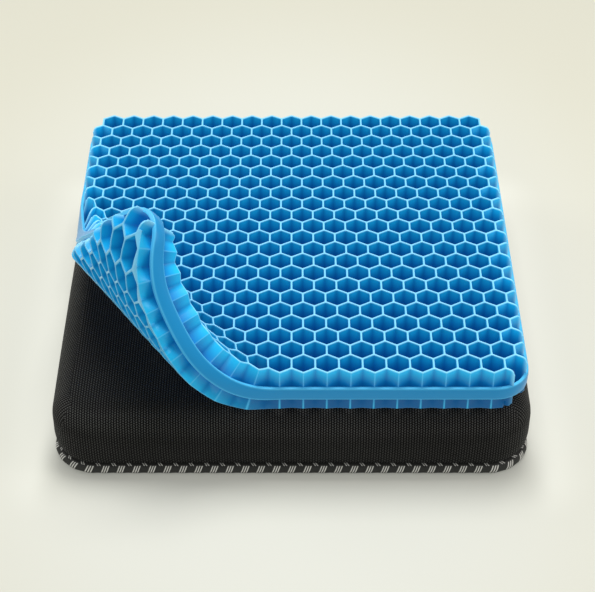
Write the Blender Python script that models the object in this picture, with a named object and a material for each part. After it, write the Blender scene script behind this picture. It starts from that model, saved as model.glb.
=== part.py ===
"""Seat cushion: a gel honeycomb pad, one corner curled up, lying on a zipped mesh cover that holds a foam block.

Metres, +Z up, +Y to the back. The origin is the middle of the underside, on the floor. The gel pad is one
flexible moulding: where its corner curls it is cut into slices that turn about four parallel lines.
"""

import math

import bmesh
import bpy
from mathutils import Matrix, Vector

# Gel pad: staggered rows of hexagonal cells, points towards the front and back
CELL_PITCH = 0.020  # across the flats, wall centre to wall centre
CELL_ROWS = 22  # counted from the back; even rows have one cell more than odd rows
LONG_ROW_CELLS = 20
WALL_THICKNESS = 0.002
PAD_HEIGHT = 0.0415
PAD_CORNER_RADIUS = 0.028
FREE_WALL_SHARE = 1.07  # of a cell's side, where a wall at the left or right edge ends free in the band

# Band round the outside of the gel pad
BAND_THICKNESS = 0.0028
BAND_HEIGHT = 0.0125
BAND_DROP = 0.0163  # from the pad's top to the band's top
BAND_BITE = 0.0008  # how far the band runs into the cell walls it joins

# Curled corner: past a straight fold line the pad turns upwards in four steps
FOLD_DIRECTION_DEG = 214.5  # from the pad's middle towards the curled corner
CURL_LENGTH = 0.1509  # from where the curl starts to the tip of the corner
NEUTRAL_DEPTH = 0.0098  # below the pad's top, where the gel neither stretches nor shortens
TURNS = ((0.036, 41.0), (0.036, 33.0), (0.036, 16.0), (0.042, 49.0))  # length along the pad, degrees turned
SPARE_TURN_DEG = 3.0  # how much further the first turn can close

# Foam-filled cover
COVER_WIDTH = 0.419
COVER_DEPTH = 0.409
COVER_HEIGHT = 0.070
COVER_CORNER_RADIUS = 0.038
COVER_TOP_RADIUS = 0.026
COVER_THICKNESS = 0.004

# Cord round the bottom seam, and the base panel inside it
CORD_RADIUS = 0.0045
CORD_INSET = 0.0005  # from the cover's side in to the cord's side
BASE_THICKNESS = 0.003

# Zip in the back wall
ZIP_HEIGHT = 0.034  # of the line where the two coils meet
ZIP_SLOT_LENGTH = 0.362
ZIP_SLOT_HEIGHT = 0.014
ZIP_SETBACK = 0.0021  # from the cover's back face in to the middle of the tapes
COIL_END = 0.004  # from a stop to the end of the slot
TAPE_THICKNESS = 0.001
COIL_THICKNESS = 0.0018
COIL_HEIGHT = 0.0016
COIL_SPACING = 0.0012  # between the coils, where the slider's post runs
STOP_LENGTH = 0.003
SLIDER_LENGTH = 0.014
SLIDER_HEIGHT = 0.009
SLIDER_FRONT_PLATE = 0.0012
SLIDER_BACK_PLATE = 0.0006
SLIDER_POST_THICKNESS = 0.0006
SLIDER_POST_LENGTH = 0.004
SLIDER_NOSE = 0.001  # from the post to the slider's leading edge, and from there to the stop
PIN_RADIUS = 0.0006
PIN_CLEARANCE = 0.0002
EYE_WALL = 0.0008
LUG_THICKNESS = 0.0012
LUG_MARGIN = 0.0008  # of lug round the pin
PULL_LENGTH = 0.024
PULL_HEIGHT = 0.0046
PULL_THICKNESS = 0.0012

FIT_GAP = 0.0003  # between pieces that touch
JOIN_OVERLAP = 0.0005  # how far two shapes of one piece run into each other
CUT_OVERRUN = 0.02  # how far a cutter reaches past what it cuts
TRIM_MARGIN = 0.0005  # from the outermost cell walls to the outline that rounds the pad's corners

# Sizes that follow from those above
CELL_RADIUS = CELL_PITCH / math.sqrt(3)
ROW_PITCH = CELL_PITCH * math.sqrt(3) / 2
CELLS_HALF_WIDTH = CELL_PITCH * LONG_ROW_CELLS / 2
CELLS_HALF_DEPTH = ROW_PITCH * (CELL_ROWS - 1) / 2 + CELL_RADIUS
PAD_BASE = COVER_HEIGHT + FIT_GAP
COVER_BASE = 2 * CORD_RADIUS + FIT_GAP
ZIP_FACE = COVER_DEPTH / 2
TAPE_MIDDLE = ZIP_FACE - ZIP_SETBACK


def clear_scene():
    for item in list(bpy.data.objects):
        bpy.data.objects.remove(item, do_unlink=True)


def make_collection(name):
    collection = bpy.data.collections.new(name)
    bpy.context.scene.collection.children.link(collection)
    return collection


def make_material(name, colour, roughness, metallic=0.0):
    material = bpy.data.materials.new(name)
    material.use_nodes = True
    shader = material.node_tree.nodes["Principled BSDF"]
    shader.inputs["Base Color"].default_value = (*colour, 1.0)
    shader.inputs["Roughness"].default_value = roughness
    shader.inputs["Metallic"].default_value = metallic
    return material


def add_object(name, mesh, collection, material=None):
    item = bpy.data.objects.new(name, mesh)
    collection.objects.link(item)
    if material is not None:
        mesh.materials.clear()
        mesh.materials.append(material)
    return item


def hide_cutter(item):
    item.hide_render = True
    item.display_type = "WIRE"


def mesh_from(item, name):
    """The evaluated mesh of an object, with its seams welded; the object is removed."""
    bpy.context.view_layer.update()
    evaluated = item.evaluated_get(bpy.context.evaluated_depsgraph_get())
    mesh = bpy.data.meshes.new_from_object(evaluated)
    mesh.name = name
    mesh.transform(item.matrix_world)
    bpy.data.objects.remove(item, do_unlink=True)
    build = bmesh.new()
    build.from_mesh(mesh)
    bmesh.ops.remove_doubles(build, verts=build.verts, dist=0.00001)
    bmesh.ops.recalc_face_normals(build, faces=build.faces)
    build.to_mesh(mesh)
    build.free()
    return mesh


def boolean(item, cutter, operation):
    modifier = item.modifiers.new(cutter.name, "BOOLEAN")
    modifier.operation = operation
    modifier.object = cutter
    modifier.solver = "EXACT"


def box_mesh(name, low, high):
    """A box between two opposite corners."""
    build = bmesh.new()
    bmesh.ops.create_cube(build, size=1.0)
    size = Vector(high) - Vector(low)
    middle = (Vector(high) + Vector(low)) / 2
    bmesh.ops.transform(build, matrix=Matrix.Translation(middle) @ Matrix.Diagonal((*size, 1.0)), verts=build.verts)
    mesh = bpy.data.meshes.new(name)
    build.to_mesh(mesh)
    build.free()
    return mesh


def arc_points(centre, radius, start_deg, end_deg, steps):
    angles = [math.radians(start_deg + (end_deg - start_deg) * i / steps) for i in range(steps + 1)]
    return [(centre[0] + radius * math.cos(t), centre[1] + radius * math.sin(t)) for t in angles]


def rounded_rectangle(half_width, half_depth, radius, steps=8):
    """Outline of a rectangle with round corners, anticlockwise."""
    x = half_width - radius
    y = half_depth - radius
    corners = ((x, y, 0), (-x, y, 90), (-x, -y, 180), (x, -y, 270))
    points = []
    for cx, cy, start in corners:
        points += arc_points((cx, cy), radius, start, start + 90, steps)
    return points


def extruded_mesh(name, outlines, low, high):
    """A flat shape between two heights: the first outline is its edge and the others are holes."""
    curve = bpy.data.curves.new(name, "CURVE")
    curve.dimensions = "2D"
    curve.fill_mode = "BOTH"
    curve.extrude = (high - low) / 2
    for outline in outlines:
        spline = curve.splines.new("POLY")
        spline.points.add(len(outline) - 1)
        spline.use_cyclic_u = True
        for point, (x, y) in zip(spline.points, outline):
            point.co = (x, y, 0.0, 1.0)
    item = add_object(name, curve, bpy.context.scene.collection)
    item.location.z = (low + high) / 2
    return mesh_from(item, name)


def block_mesh(name, half_width, half_depth, low, high, corner, top, under=0.0):
    """A block with round corners in plan and a round top edge, and a round bottom edge where under is given."""
    mesh = box_mesh(name, (-half_width, -half_depth, low), (half_width, half_depth, high))
    build = bmesh.new()
    build.from_mesh(mesh)
    upright = [e for e in build.edges if abs(e.verts[0].co.z - e.verts[1].co.z) > 0.001]
    bmesh.ops.bevel(build, geom=upright, offset=corner, segments=7, profile=0.5, affect="EDGES")
    for height, radius, steps in ((high, top, 6), (low, under, 4)):
        if radius > 0:
            rim = [e for e in build.edges if all(abs(v.co.z - height) < 1e-6 for v in e.verts)]
            bmesh.ops.bevel(build, geom=rim, offset=radius, segments=steps, profile=0.5, affect="EDGES")
    build.to_mesh(mesh)
    build.free()
    mesh.shade_smooth()
    mesh.set_sharp_from_angle(angle=math.radians(35))
    return mesh


def row_height(row):
    """Distance of a row of cells from the pad's middle, row 1 being at the back."""
    return ((CELL_ROWS + 1) / 2 - row) * ROW_PITCH


def closed_cell_centres():
    """Centres of the cells with walls all round, which is all but the end cells of the even rows."""
    for row in range(1, CELL_ROWS + 1):
        count = LONG_ROW_CELLS - row % 2
        open_ends = 1 - row % 2
        for index in range(open_ends, count - open_ends):
            yield (index - (count - 1) / 2) * CELL_PITCH, row_height(row)


def hexagon(centre, radius):
    return [(centre[0] + radius * math.sin(k * math.pi / 3), centre[1] + radius * math.cos(k * math.pi / 3))
            for k in range(6)]


def side_corners():
    """Corners of the outer wall line up the right side, as (x, y, whether a wall ends free there).

    The end cells of the even rows are open: their front and back walls stop at the band.
    """
    half = CELL_RADIUS / 2
    inner = CELLS_HALF_WIDTH - CELL_PITCH
    outer = CELLS_HALF_WIDTH - CELL_PITCH / 2
    reach = CELL_PITCH / 2 * FREE_WALL_SHARE
    corners = []
    for row in range(CELL_ROWS, 1, -2):
        front = row_height(row) - CELL_RADIUS
        back = row_height(row) + CELL_RADIUS
        if row < CELL_ROWS:
            corners += [(outer, front, False), (outer + reach, front + half * FREE_WALL_SHARE, True)]
            corners.append((outer, front, False))
        corners += [(inner, front + half, False), (inner, back - half, False), (outer, back, False)]
        corners += [(outer + reach, back - half * FREE_WALL_SHARE, True), (outer, back, False)]
    return corners


def pad_outline():
    """Outer wall line of the whole block of cells, anticlockwise from the front left, before it has a thickness."""
    half = CELL_RADIUS / 2
    front = row_height(CELL_ROWS) - half
    back = row_height(1) + half
    inner = CELLS_HALF_WIDTH - CELL_PITCH
    right = side_corners()
    corners = [(-inner - CELL_PITCH / 2, front - half, True)]
    for index in range(LONG_ROW_CELLS - 1):
        x = index * CELL_PITCH - inner
        corners += [(x, front, False), (x + CELL_PITCH / 2, front - half, index == LONG_ROW_CELLS - 2)]
    corners += right
    for index in range(LONG_ROW_CELLS - 1):
        x = inner - index * CELL_PITCH
        corners += [(x + CELL_PITCH / 2, back, False), (x, back + half, False)]
    corners.append((-inner - CELL_PITCH / 2, back, False))
    return corners + [(-x, y, free) for x, y, free in reversed(right)]


def thickened_outline(corners, distance):
    """Moves every side of an anticlockwise outline outwards, and gives each free wall a square end."""
    moved = []
    for i, (x, y, free) in enumerate(corners):
        here = Vector((x, y))
        before = Vector(corners[i - 1][:2])
        after = Vector(corners[(i + 1) % len(corners)][:2])
        into = (here - before).normalized()
        out = (after - here).normalized()
        normal_in = Vector((into.y, -into.x))
        normal_out = Vector((out.y, -out.x))
        if free:
            moved += [tuple(here + normal_in * distance), tuple(here + normal_out * distance)]
        else:
            bisector = (normal_in + normal_out).normalized()
            moved.append(tuple(here + bisector * distance / bisector.dot(normal_in)))
    return moved


def band_outer_sizes():
    """Half width, half depth and corner radius of the band's outer face."""
    reach = BAND_THICKNESS - BAND_BITE
    half_width = CELLS_HALF_WIDTH + WALL_THICKNESS / 2 + reach
    half_depth = CELLS_HALF_DEPTH + WALL_THICKNESS / math.sqrt(3) + reach
    return half_width, half_depth, PAD_CORNER_RADIUS + reach


def whole_pad_mesh(cutters):
    """The flat gel pad: cell walls trimmed to round corners, joined to the band."""
    holes = [hexagon(c, CELL_RADIUS - WALL_THICKNESS / math.sqrt(3)) for c in closed_cell_centres()]
    edge = thickened_outline(pad_outline(), WALL_THICKNESS / 2)
    top = PAD_BASE + PAD_HEIGHT
    walls = add_object("cell_walls", extruded_mesh("cell_walls", [edge] + holes, PAD_BASE, top), cutters)

    half_width = CELLS_HALF_WIDTH + WALL_THICKNESS / 2
    half_depth = CELLS_HALF_DEPTH + WALL_THICKNESS / math.sqrt(3)
    trim_outline = rounded_rectangle(half_width + TRIM_MARGIN, half_depth + TRIM_MARGIN, PAD_CORNER_RADIUS)
    trim = add_object("corner_trim", extruded_mesh("corner_trim", [trim_outline], PAD_BASE - CUT_OVERRUN,
                                                   top + CUT_OVERRUN), cutters)
    boolean(walls, trim, "INTERSECT")

    inner = rounded_rectangle(half_width - BAND_BITE, half_depth - BAND_BITE, PAD_CORNER_RADIUS - BAND_BITE)
    outer = rounded_rectangle(*band_outer_sizes())
    band_top = top - BAND_DROP
    band = add_object("band", extruded_mesh("band", [outer, inner], band_top - BAND_HEIGHT, band_top), cutters)
    boolean(walls, band, "UNION")
    mesh = mesh_from(walls, "whole_pad")
    for helper in (trim, band):
        bpy.data.objects.remove(helper, do_unlink=True)
    return mesh


def keep_largest_body(mesh):
    """Removes the short stubs of wall that a cut through the cells leaves loose."""
    build = bmesh.new()
    build.from_mesh(mesh)
    bodies = []
    left = set(build.verts)
    while left:
        body = set()
        stack = [left.pop()]
        while stack:
            vertex = stack.pop()
            body.add(vertex)
            for edge in vertex.link_edges:
                other = edge.other_vert(vertex)
                if other in left:
                    left.remove(other)
                    stack.append(other)
        bodies.append(body)
    bodies.sort(key=len)
    bmesh.ops.delete(build, geom=[v for body in bodies[:-1] for v in body], context="VERTS")
    build.to_mesh(mesh)
    build.free()


def fold_frame():
    """Unit vectors of the curl: across the fold towards the corner, and along the hinge lines."""
    angle = math.radians(FOLD_DIRECTION_DEG)
    across = Vector((math.cos(angle), math.sin(angle), 0.0))
    hinge_line = across.cross(Vector((0.0, 0.0, 1.0)))
    return across, hinge_line


def fold_distance():
    """From the pad's middle to where the curl starts, across the fold."""
    across = fold_frame()[0]
    half_width, half_depth, radius = band_outer_sizes()
    tip = (half_width - radius) * abs(across.x) + (half_depth - radius) * abs(across.y) + radius
    return tip - CURL_LENGTH


def turn_reach(turn):
    """From a turn's end to its hinge line: where the tangents at the two ends of its arc meet."""
    length, degrees = turn
    half = math.radians(degrees) / 2
    return length / (2 * half) * math.tan(half)


def slice_cutter(name, start, before, after, cutters):
    """A block that keeps one slice of the flat pad. start is the distance across the fold of the slice's own frame.

    Each side of the slice is upright below the hinge line and leans back above it, so that the neighbours clear
    each other both flat and curled.
    """
    across, hinge_line = fold_frame()
    neutral = PAD_BASE + PAD_HEIGHT - NEUTRAL_DEPTH
    reach = 0.5
    low = -before[0] / 2 if before else -reach
    high = after[0] / 2 if after else reach
    build = bmesh.new()
    bmesh.ops.create_cube(build, size=1.0)
    size = Vector((high - low, 1.0, 0.2))
    middle = Vector(((high + low) / 2, 0.0, 0.0))
    bmesh.ops.transform(build, matrix=Matrix.Translation(middle) @ Matrix.Diagonal((*size, 1.0)), verts=build.verts)
    for turn, side in ((before, -1), (after, 1)):
        if turn is None:
            continue
        lean = math.radians(turn[1] * (1 + SPARE_TURN_DEG / TURNS[0][1])) / 2
        point = Vector((side * (turn_reach(turn) - FIT_GAP), 0.0, 0.0))
        normal = Vector((side * math.cos(lean), 0.0, math.sin(lean)))
        geometry = build.verts[:] + build.edges[:] + build.faces[:]
        cut = bmesh.ops.bisect_plane(build, geom=geometry, plane_co=point, plane_no=normal, clear_outer=True)
        rim = [e for e in cut["geom_cut"] if isinstance(e, bmesh.types.BMEdge)]
        bmesh.ops.edgeloop_fill(build, edges=rim)
    mesh = bpy.data.meshes.new(name)
    frame = Matrix((across, -hinge_line, Vector((0.0, 0.0, 1.0)))).transposed().to_4x4()
    bmesh.ops.transform(build, matrix=frame, verts=build.verts)
    build.to_mesh(mesh)
    build.free()
    item = add_object(name, mesh, cutters)
    item.location = across * start + Vector((0.0, 0.0, neutral))
    hide_cutter(item)
    return item


def make_gel_pad(collection, cutters, material):
    """The flat part of the pad and the four slices of the curled corner, each parented to the one before it."""
    across, hinge_line = fold_frame()
    whole = whole_pad_mesh(cutters)
    neutral = PAD_BASE + PAD_HEIGHT - NEUTRAL_DEPTH
    start = fold_distance()
    previous = None
    previous_origin = None
    for index in range(len(TURNS) + 1):
        before = TURNS[index - 1] if index > 0 else None
        after = TURNS[index] if index < len(TURNS) else None
        if before:
            start += before[0]
        name = f"gel_corner_{index}" if index else "gel_pad"
        item = add_object(name, whole.copy(), cutters)
        cutter = slice_cutter(name + "_cutter", start, before, after, cutters)
        boolean(item, cutter, "INTERSECT")
        mesh = mesh_from(item, name)
        bpy.data.objects.remove(cutter, do_unlink=True)
        keep_largest_body(mesh)
        if before:
            origin = across * (start - turn_reach(before)) + Vector((0.0, 0.0, neutral))
        else:
            origin = Vector((0.0, 0.0, PAD_BASE))
        mesh.transform(Matrix.Translation(-origin))
        item = add_object(name, mesh, collection, material)
        if before:
            hinge_in_parent = across * (start - before[0] + turn_reach(before)) + Vector((0.0, 0.0, neutral))
            item.parent = previous
            item.location = hinge_in_parent - previous_origin
            item.rotation_mode = "AXIS_ANGLE"
            item.rotation_axis_angle = (math.radians(before[1]), *hinge_line)
        else:
            item.location = origin
        previous = item
        previous_origin = origin
    bpy.data.meshes.remove(whole)


def make_cover_shell(collection, cutters, material):
    """Top and side walls of the cover, open underneath, with a slot for the zip in the back wall."""
    half_width = COVER_WIDTH / 2
    half_depth = COVER_DEPTH / 2
    outer = block_mesh("cover_shell", half_width, half_depth, COVER_BASE, COVER_HEIGHT,
                       COVER_CORNER_RADIUS, COVER_TOP_RADIUS)
    item = add_object("cover_shell", outer, collection, material)
    inner_mesh = block_mesh("cover_inside", half_width - COVER_THICKNESS, half_depth - COVER_THICKNESS,
                            COVER_BASE - CUT_OVERRUN, COVER_HEIGHT - COVER_THICKNESS,
                            COVER_CORNER_RADIUS - COVER_THICKNESS, COVER_TOP_RADIUS - COVER_THICKNESS)
    inner = add_object("cover_inside", inner_mesh, cutters)
    hide_cutter(inner)
    boolean(item, inner, "DIFFERENCE")
    slot_half = ZIP_SLOT_HEIGHT / 2
    slot_mesh = box_mesh("zip_slot", (-ZIP_SLOT_LENGTH / 2, half_depth - CUT_OVERRUN, ZIP_HEIGHT - slot_half),
                         (ZIP_SLOT_LENGTH / 2, half_depth + CUT_OVERRUN, ZIP_HEIGHT + slot_half))
    slot = add_object("zip_slot", slot_mesh, cutters)
    hide_cutter(slot)
    boolean(item, slot, "DIFFERENCE")


def make_edge_cord(collection, material):
    """A round cord along the bottom edge of the cover."""
    inset = CORD_INSET + CORD_RADIUS
    path = rounded_rectangle(COVER_WIDTH / 2 - inset, COVER_DEPTH / 2 - inset, COVER_CORNER_RADIUS - inset, 7)
    curve = bpy.data.curves.new("edge_cord", "CURVE")
    curve.dimensions = "3D"
    curve.bevel_depth = CORD_RADIUS
    curve.bevel_resolution = 2
    spline = curve.splines.new("POLY")
    spline.points.add(len(path) - 1)
    spline.use_cyclic_u = True
    for point, (x, y) in zip(spline.points, path):
        point.co = (x, y, 0.0, 1.0)
    item = add_object("edge_cord", curve, collection, material)
    item.location.z = CORD_RADIUS


def make_base_panel(collection, material):
    """The flat underside, inside the ring of cord."""
    drop = CORD_RADIUS - BASE_THICKNESS
    side = CORD_INSET + CORD_RADIUS + math.sqrt(CORD_RADIUS**2 - drop**2) + FIT_GAP
    outline = rounded_rectangle(COVER_WIDTH / 2 - side, COVER_DEPTH / 2 - side, COVER_CORNER_RADIUS - side, 7)
    add_object("base_panel", extruded_mesh("base_panel", [outline], 0.0, BASE_THICKNESS), collection, material)


def foam_under_radius():
    """Radius R of the foam's bottom edge: its arc just clears the cord, with (R + p)^2 + (R + q)^2 = (R + c)^2."""
    p = COVER_THICKNESS + FIT_GAP - CORD_INSET - CORD_RADIUS
    q = BASE_THICKNESS + FIT_GAP - CORD_RADIUS
    c = CORD_RADIUS + FIT_GAP
    half = p + q - c
    return math.sqrt(half**2 - (p**2 + q**2 - c**2)) - half


def make_foam_core(collection, material):
    """The block that fills the cover."""
    inset = COVER_THICKNESS + FIT_GAP
    mesh = block_mesh("foam_core", COVER_WIDTH / 2 - inset, COVER_DEPTH / 2 - inset, BASE_THICKNESS + FIT_GAP,
                      COVER_HEIGHT - inset, COVER_CORNER_RADIUS - inset, COVER_TOP_RADIUS - inset, foam_under_radius())
    add_object("foam_core", mesh, collection, material)


def make_zip_line(collection, tape_material, coil_material, stop_material):
    """Two tapes in the slot, the coil along each, and a stop across both coils at each end."""
    half_slot = ZIP_SLOT_LENGTH / 2 - FIT_GAP
    coil_half_length = half_slot - STOP_LENGTH - COIL_END
    coil_face = TAPE_MIDDLE + COIL_THICKNESS / 2
    coil_back = TAPE_MIDDLE - COIL_THICKNESS / 2
    for name, side in (("upper", 1), ("lower", -1)):
        near = side * COIL_SPACING / 2
        far = side * (COIL_SPACING / 2 + COIL_HEIGHT)
        low, high = sorted((ZIP_HEIGHT + near, ZIP_HEIGHT + far))
        coil = box_mesh("zip_coil_" + name, (-coil_half_length, coil_back, low), (coil_half_length, coil_face, high))
        add_object("zip_coil_" + name, coil, collection, coil_material)
        edge = side * (ZIP_SLOT_HEIGHT / 2 - FIT_GAP)
        low, high = sorted((ZIP_HEIGHT + far + side * FIT_GAP, ZIP_HEIGHT + edge))
        tape = box_mesh("zip_tape_" + name, (-half_slot, TAPE_MIDDLE - TAPE_THICKNESS / 2, low),
                        (half_slot, TAPE_MIDDLE + TAPE_THICKNESS / 2, high))
        add_object("zip_tape_" + name, tape, collection, tape_material)
    half_height = COIL_SPACING / 2 + COIL_HEIGHT
    for name, side in (("start", -1), ("end", 1)):
        near = side * (coil_half_length + FIT_GAP)
        low, high = sorted((near, near + side * STOP_LENGTH))
        stop = box_mesh("zip_stop_" + name, (low, coil_back, ZIP_HEIGHT - half_height),
                        (high, coil_face, ZIP_HEIGHT + half_height))
        add_object("zip_stop_" + name, stop, collection, stop_material)
    return coil_half_length - SLIDER_LENGTH / 2 - SLIDER_NOSE


def cylinder_mesh(name, radius, length, sides=16):
    """A cylinder along Z about its own origin."""
    build = bmesh.new()
    bmesh.ops.create_cone(build, cap_ends=True, segments=sides, radius1=radius, radius2=radius, depth=length)
    mesh = bpy.data.meshes.new(name)
    build.to_mesh(mesh)
    build.free()
    mesh.shade_smooth()
    mesh.set_sharp_from_angle(angle=math.radians(35))
    return mesh


def make_zip_slider(collection, cutters, material, slider_x):
    """Slider: two plates joined by a post between the coils, and a pin between two lugs for the pull."""
    coil_face = TAPE_MIDDLE + COIL_THICKNESS / 2 + FIT_GAP
    coil_back = TAPE_MIDDLE - COIL_THICKNESS / 2 - FIT_GAP
    front = coil_face + SLIDER_FRONT_PLATE
    pin_y = front + FIT_GAP + PIN_RADIUS + PIN_CLEARANCE + EYE_WALL
    half_length = SLIDER_LENGTH / 2
    half_height = SLIDER_HEIGHT / 2
    item = add_object("zip_slider", box_mesh("zip_slider", (-half_length, coil_face, -half_height),
                                             (half_length, front, half_height)), collection, material)
    lug_low = PULL_HEIGHT / 2 + FIT_GAP
    lug_half = PIN_RADIUS + LUG_MARGIN
    post_end = half_length - SLIDER_NOSE
    post_start = post_end - SLIDER_POST_LENGTH
    helpers = [
        box_mesh("slider_back", (-half_length, coil_back - SLIDER_BACK_PLATE, -half_height),
                 (half_length, coil_back, half_height)),
        box_mesh("slider_post", (post_start, coil_back - SLIDER_BACK_PLATE / 2, -SLIDER_POST_THICKNESS / 2),
                 (post_end, coil_face + SLIDER_FRONT_PLATE / 2, SLIDER_POST_THICKNESS / 2)),
        box_mesh("slider_lug_upper", (-lug_half, front - JOIN_OVERLAP, lug_low),
                 (lug_half, pin_y + lug_half, lug_low + LUG_THICKNESS)),
        box_mesh("slider_lug_lower", (-lug_half, front - JOIN_OVERLAP, -lug_low - LUG_THICKNESS),
                 (lug_half, pin_y + lug_half, -lug_low)),
        cylinder_mesh("slider_pin", PIN_RADIUS, 2 * lug_low + LUG_THICKNESS),
    ]
    for mesh in helpers:
        helper = add_object(mesh.name, mesh, cutters)
        helper.location = (slider_x, 0.0, ZIP_HEIGHT)
        if mesh.name == "slider_pin":
            helper.location.y = pin_y
        hide_cutter(helper)
        boolean(item, helper, "UNION")
    item.location = (slider_x, 0.0, ZIP_HEIGHT)
    return pin_y


def make_zip_pull(collection, cutters, material, slider_x, pin_y):
    """Pull: a flat tab with an eye round the slider's pin, lying along the tape."""
    eye_radius = PIN_RADIUS + PIN_CLEARANCE + EYE_WALL
    item = add_object("zip_pull", cylinder_mesh("zip_pull", eye_radius, PULL_HEIGHT), collection, material)
    tab = add_object("pull_tab", box_mesh("pull_tab", (-PULL_LENGTH, -eye_radius, -PULL_HEIGHT / 2),
                                          (-PIN_RADIUS, PULL_THICKNESS - eye_radius, PULL_HEIGHT / 2)), cutters)
    hole = add_object("pull_hole", cylinder_mesh("pull_hole", PIN_RADIUS + PIN_CLEARANCE, 2 * PULL_HEIGHT), cutters)
    for helper, operation in ((tab, "UNION"), (hole, "DIFFERENCE")):
        helper.location = (slider_x, pin_y, ZIP_HEIGHT)
        hide_cutter(helper)
        boolean(item, helper, operation)
    item.location = (slider_x, pin_y, ZIP_HEIGHT)


def main():
    clear_scene()
    parts = make_collection("seat_cushion")
    cutters = make_collection("cutters")
    gel = make_material("gel", (0.02, 0.30, 0.62), 0.30)
    mesh_fabric = make_material("mesh_fabric", (0.012, 0.012, 0.013), 0.85)
    cord = make_material("edge_cord", (0.02, 0.02, 0.02), 0.75)
    base = make_material("base_fabric", (0.02, 0.02, 0.022), 0.9)
    foam = make_material("foam", (0.75, 0.74, 0.70), 0.95)
    tape = make_material("zip_tape", (0.012, 0.012, 0.014), 0.8)
    nylon = make_material("zip_nylon", (0.02, 0.02, 0.022), 0.5)
    metal = make_material("zip_metal", (0.05, 0.05, 0.055), 0.35, 0.8)

    make_gel_pad(parts, cutters, gel)
    make_cover_shell(parts, cutters, mesh_fabric)
    make_edge_cord(parts, cord)
    make_base_panel(parts, base)
    make_foam_core(parts, foam)
    slider_x = make_zip_line(parts, tape, nylon, metal)
    pin_y = make_zip_slider(parts, cutters, metal, slider_x)
    make_zip_pull(parts, cutters, metal, slider_x, pin_y)


main()
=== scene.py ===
# %% [markdown]
# # Seat cushion: gel honeycomb pad on a zipped mesh cover
# Metres, +Z up, +Y to the back, origin in the middle of the underside.
# The CAD nodes give the frame. Every soft piece is built here round them: the gel
# honeycomb with its curled corner, the padded cover, its edge cord and the zip.

# %% Frame
import math

import bpy
import numpy as np
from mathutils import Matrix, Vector


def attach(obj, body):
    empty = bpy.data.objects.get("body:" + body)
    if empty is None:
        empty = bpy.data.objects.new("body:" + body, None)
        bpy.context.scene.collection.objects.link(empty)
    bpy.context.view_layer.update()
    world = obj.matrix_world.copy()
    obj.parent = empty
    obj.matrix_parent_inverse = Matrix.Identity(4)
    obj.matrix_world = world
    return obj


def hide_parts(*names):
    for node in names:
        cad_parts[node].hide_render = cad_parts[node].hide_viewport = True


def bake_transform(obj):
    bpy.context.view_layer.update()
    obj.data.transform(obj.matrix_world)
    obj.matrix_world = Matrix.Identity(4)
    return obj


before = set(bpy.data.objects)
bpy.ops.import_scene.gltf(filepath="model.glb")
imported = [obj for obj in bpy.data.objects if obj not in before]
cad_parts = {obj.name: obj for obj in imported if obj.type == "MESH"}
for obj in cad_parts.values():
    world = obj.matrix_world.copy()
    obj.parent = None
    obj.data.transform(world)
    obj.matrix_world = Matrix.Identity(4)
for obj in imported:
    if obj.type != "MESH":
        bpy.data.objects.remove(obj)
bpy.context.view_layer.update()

# %% [markdown]
# ## Shader sums
# `S` wraps a shader socket, so that a pattern reads as the formula it is.

# %% Shader wrapper


class S:
    """A shader socket (or a number) that sums, products and comparisons can be written with."""

    tree = None

    def __init__(self, socket):
        self.socket = socket

    @staticmethod
    def node(kind, inputs=(), output=0, **settings):
        """Adds a node, sets its properties and inputs, and returns the chosen output wrapped."""
        node = S.tree.nodes.new("ShaderNode" + kind)
        for name, value in settings.items():
            setattr(node, name, value)
        for key, value in dict(inputs).items():
            S.put(value, node.inputs[key])
        return S(node.outputs[output])

    @staticmethod
    def put(value, socket):
        """Links a wrapped socket, or sets a plain number, tuple or colour."""
        if isinstance(value, S):
            S.tree.links.new(value.socket, socket)
        else:
            socket.default_value = value

    def math(self, operation, other=0.0):
        """A Math node on this value and another."""
        return S.node("Math", {0: self, 1: other}, operation=operation)

    def __add__(self, other):
        return self.math("ADD", other)

    def __radd__(self, other):
        return self.math("ADD", other)

    def __sub__(self, other):
        return self.math("SUBTRACT", other)

    def __rsub__(self, other):
        return (self * -1.0).math("ADD", other)

    def __mul__(self, other):
        return self.math("MULTIPLY", other)

    def __rmul__(self, other):
        return self.math("MULTIPLY", other)

    def __truediv__(self, other):
        return self.math("DIVIDE", other)

    def __gt__(self, other):
        return self.math("GREATER_THAN", other)

    def abs(self):
        return self.math("ABSOLUTE")

    def cos(self):
        return self.math("COSINE")

    def fract(self):
        return self.math("FRACT")

    def floor(self):
        return self.math("FLOOR")

    def least(self, other):
        return self.math("MINIMUM", other)

    def most(self, other):
        return self.math("MAXIMUM", other)

    def ramp(self, start, end):
        """0 below start, 1 above end, and a smooth step between them (start may be above end)."""
        ends = {0: self, 1: start, 2: end, 3: 0.0, 4: 1.0}
        return S.node("MapRange", ends, interpolation_type="SMOOTHSTEP")


def mix(factor, first, second):
    """Colour mix: first at factor 0, second at factor 1."""
    return S.node("Mix", {0: factor, 6: first, 7: second}, output=2, data_type="RGBA")


def parts(vector):
    """x, y and z of a wrapped vector."""
    split = S.node("SeparateXYZ", {0: vector}).socket.node
    return [S(out) for out in split.outputs]


def attribute(name):
    """A number stored on the mesh's points."""
    return S.node("Attribute", output=2, attribute_name=name)


def noise(vector, scale, detail=2.0, rough=0.5):
    """Fractal noise from 0 to 1."""
    return S.node("TexNoise", {"Vector": vector, "Scale": scale, "Detail": detail, "Roughness": rough})


def material(name, **constants):
    """A new material with its Principled shader's constants set. Returns it and the shader node."""
    made = bpy.data.materials.new(name)
    made.use_nodes = True
    S.tree = made.node_tree
    shader = made.node_tree.nodes["Principled BSDF"]
    for key, value in constants.items():
        shader.inputs[key.replace("_", " ")].default_value = value
    return made, shader


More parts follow.
